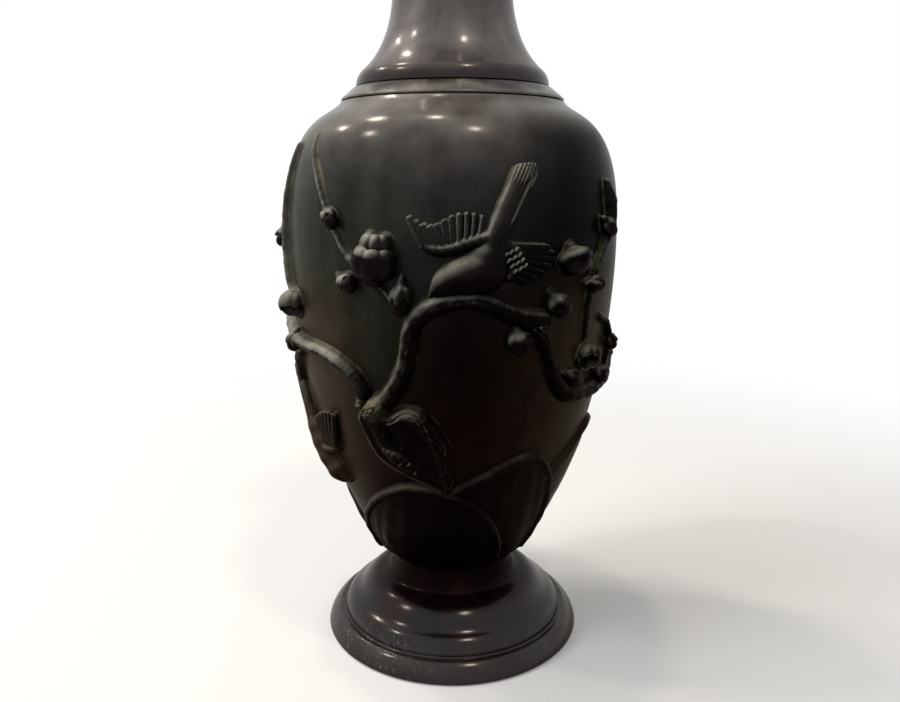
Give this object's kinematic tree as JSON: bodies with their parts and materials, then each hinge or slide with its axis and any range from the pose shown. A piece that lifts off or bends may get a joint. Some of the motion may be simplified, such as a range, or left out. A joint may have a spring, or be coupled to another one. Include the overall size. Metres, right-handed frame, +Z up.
{
  "type": "bud vase",
  "caption": "Dark bronze baluster vase on a turned foot, with a trumpet neck and high relief of birds, plum branches and hills; holds cut flowers.",
  "frame": {"origin": "centre of the foot's underside, where the vase stands", "axes": "+Z up the vase's axis; the front with the flying bird faces -Y; +X is to the right of a person who looks at the front"},
  "size_m": [0.1236, 0.1328, 0.305],
  "materials": {
    "bronze_turned": "dark brown patina, polished smooth by handling",
    "bronze_relief": "dark patina with a yellow-green deposit in the hollows"
  },
  "bodies": {
    "root": {"foot": "bronze_turned", "base_plate": "bronze_turned", "body": "bronze_turned", "shoulder_collar": "bronze_turned", "neck": "bronze_turned", "hill_front": "bronze_relief", "hill_right": "bronze_relief", "hill_far_right": "bronze_relief", "hill_back_right": "bronze_relief", "hill_back_left": "bronze_relief", "hill_far_left": "bronze_relief", "trunk": "bronze_relief", "branch_main": "bronze_relief", "branch_right": "bronze_relief", "branch_left": "bronze_relief", "branch_low": "bronze_relief", "twig_upper_left": "bronze_relief", "stem_left": "bronze_relief", "twig_right": "bronze_relief", "twig_far_right": "bronze_relief", "branch_back_right": "bronze_relief", "twig_back_left": "bronze_relief", "bird_front": "bronze_relief", "bird_left": "bronze_relief", "blossom_upper_left": "bronze_relief", "blossom_behind": "bronze_relief", "blossom_left": "bronze_relief", "blossom_right": "bronze_relief", "blossom_low_right": "bronze_relief", "blossom_back_right": "bronze_relief", "blossom_back": "bronze_relief", "blossom_back_left": "bronze_relief", "bud_top_left": "bronze_relief", "bud_mid_left": "bronze_relief", "bud_hanging": "bronze_relief", "bud_left_edge": "bronze_relief", "bud_branch_left": "bronze_relief", "bud_top_right": "bronze_relief", "bud_twig_right": "bronze_relief", "bud_round": "bronze_relief", "bud_under_branch": "bronze_relief", "bud_far_right": "bronze_relief", "bud_low_right": "bronze_relief", "knob_right": "bronze_relief", "bud_side_right": "bronze_relief", "bud_back_right": "bronze_relief", "bud_back_top": "bronze_relief", "bud_back_left": "bronze_relief"}
  },
  "joints": []
}
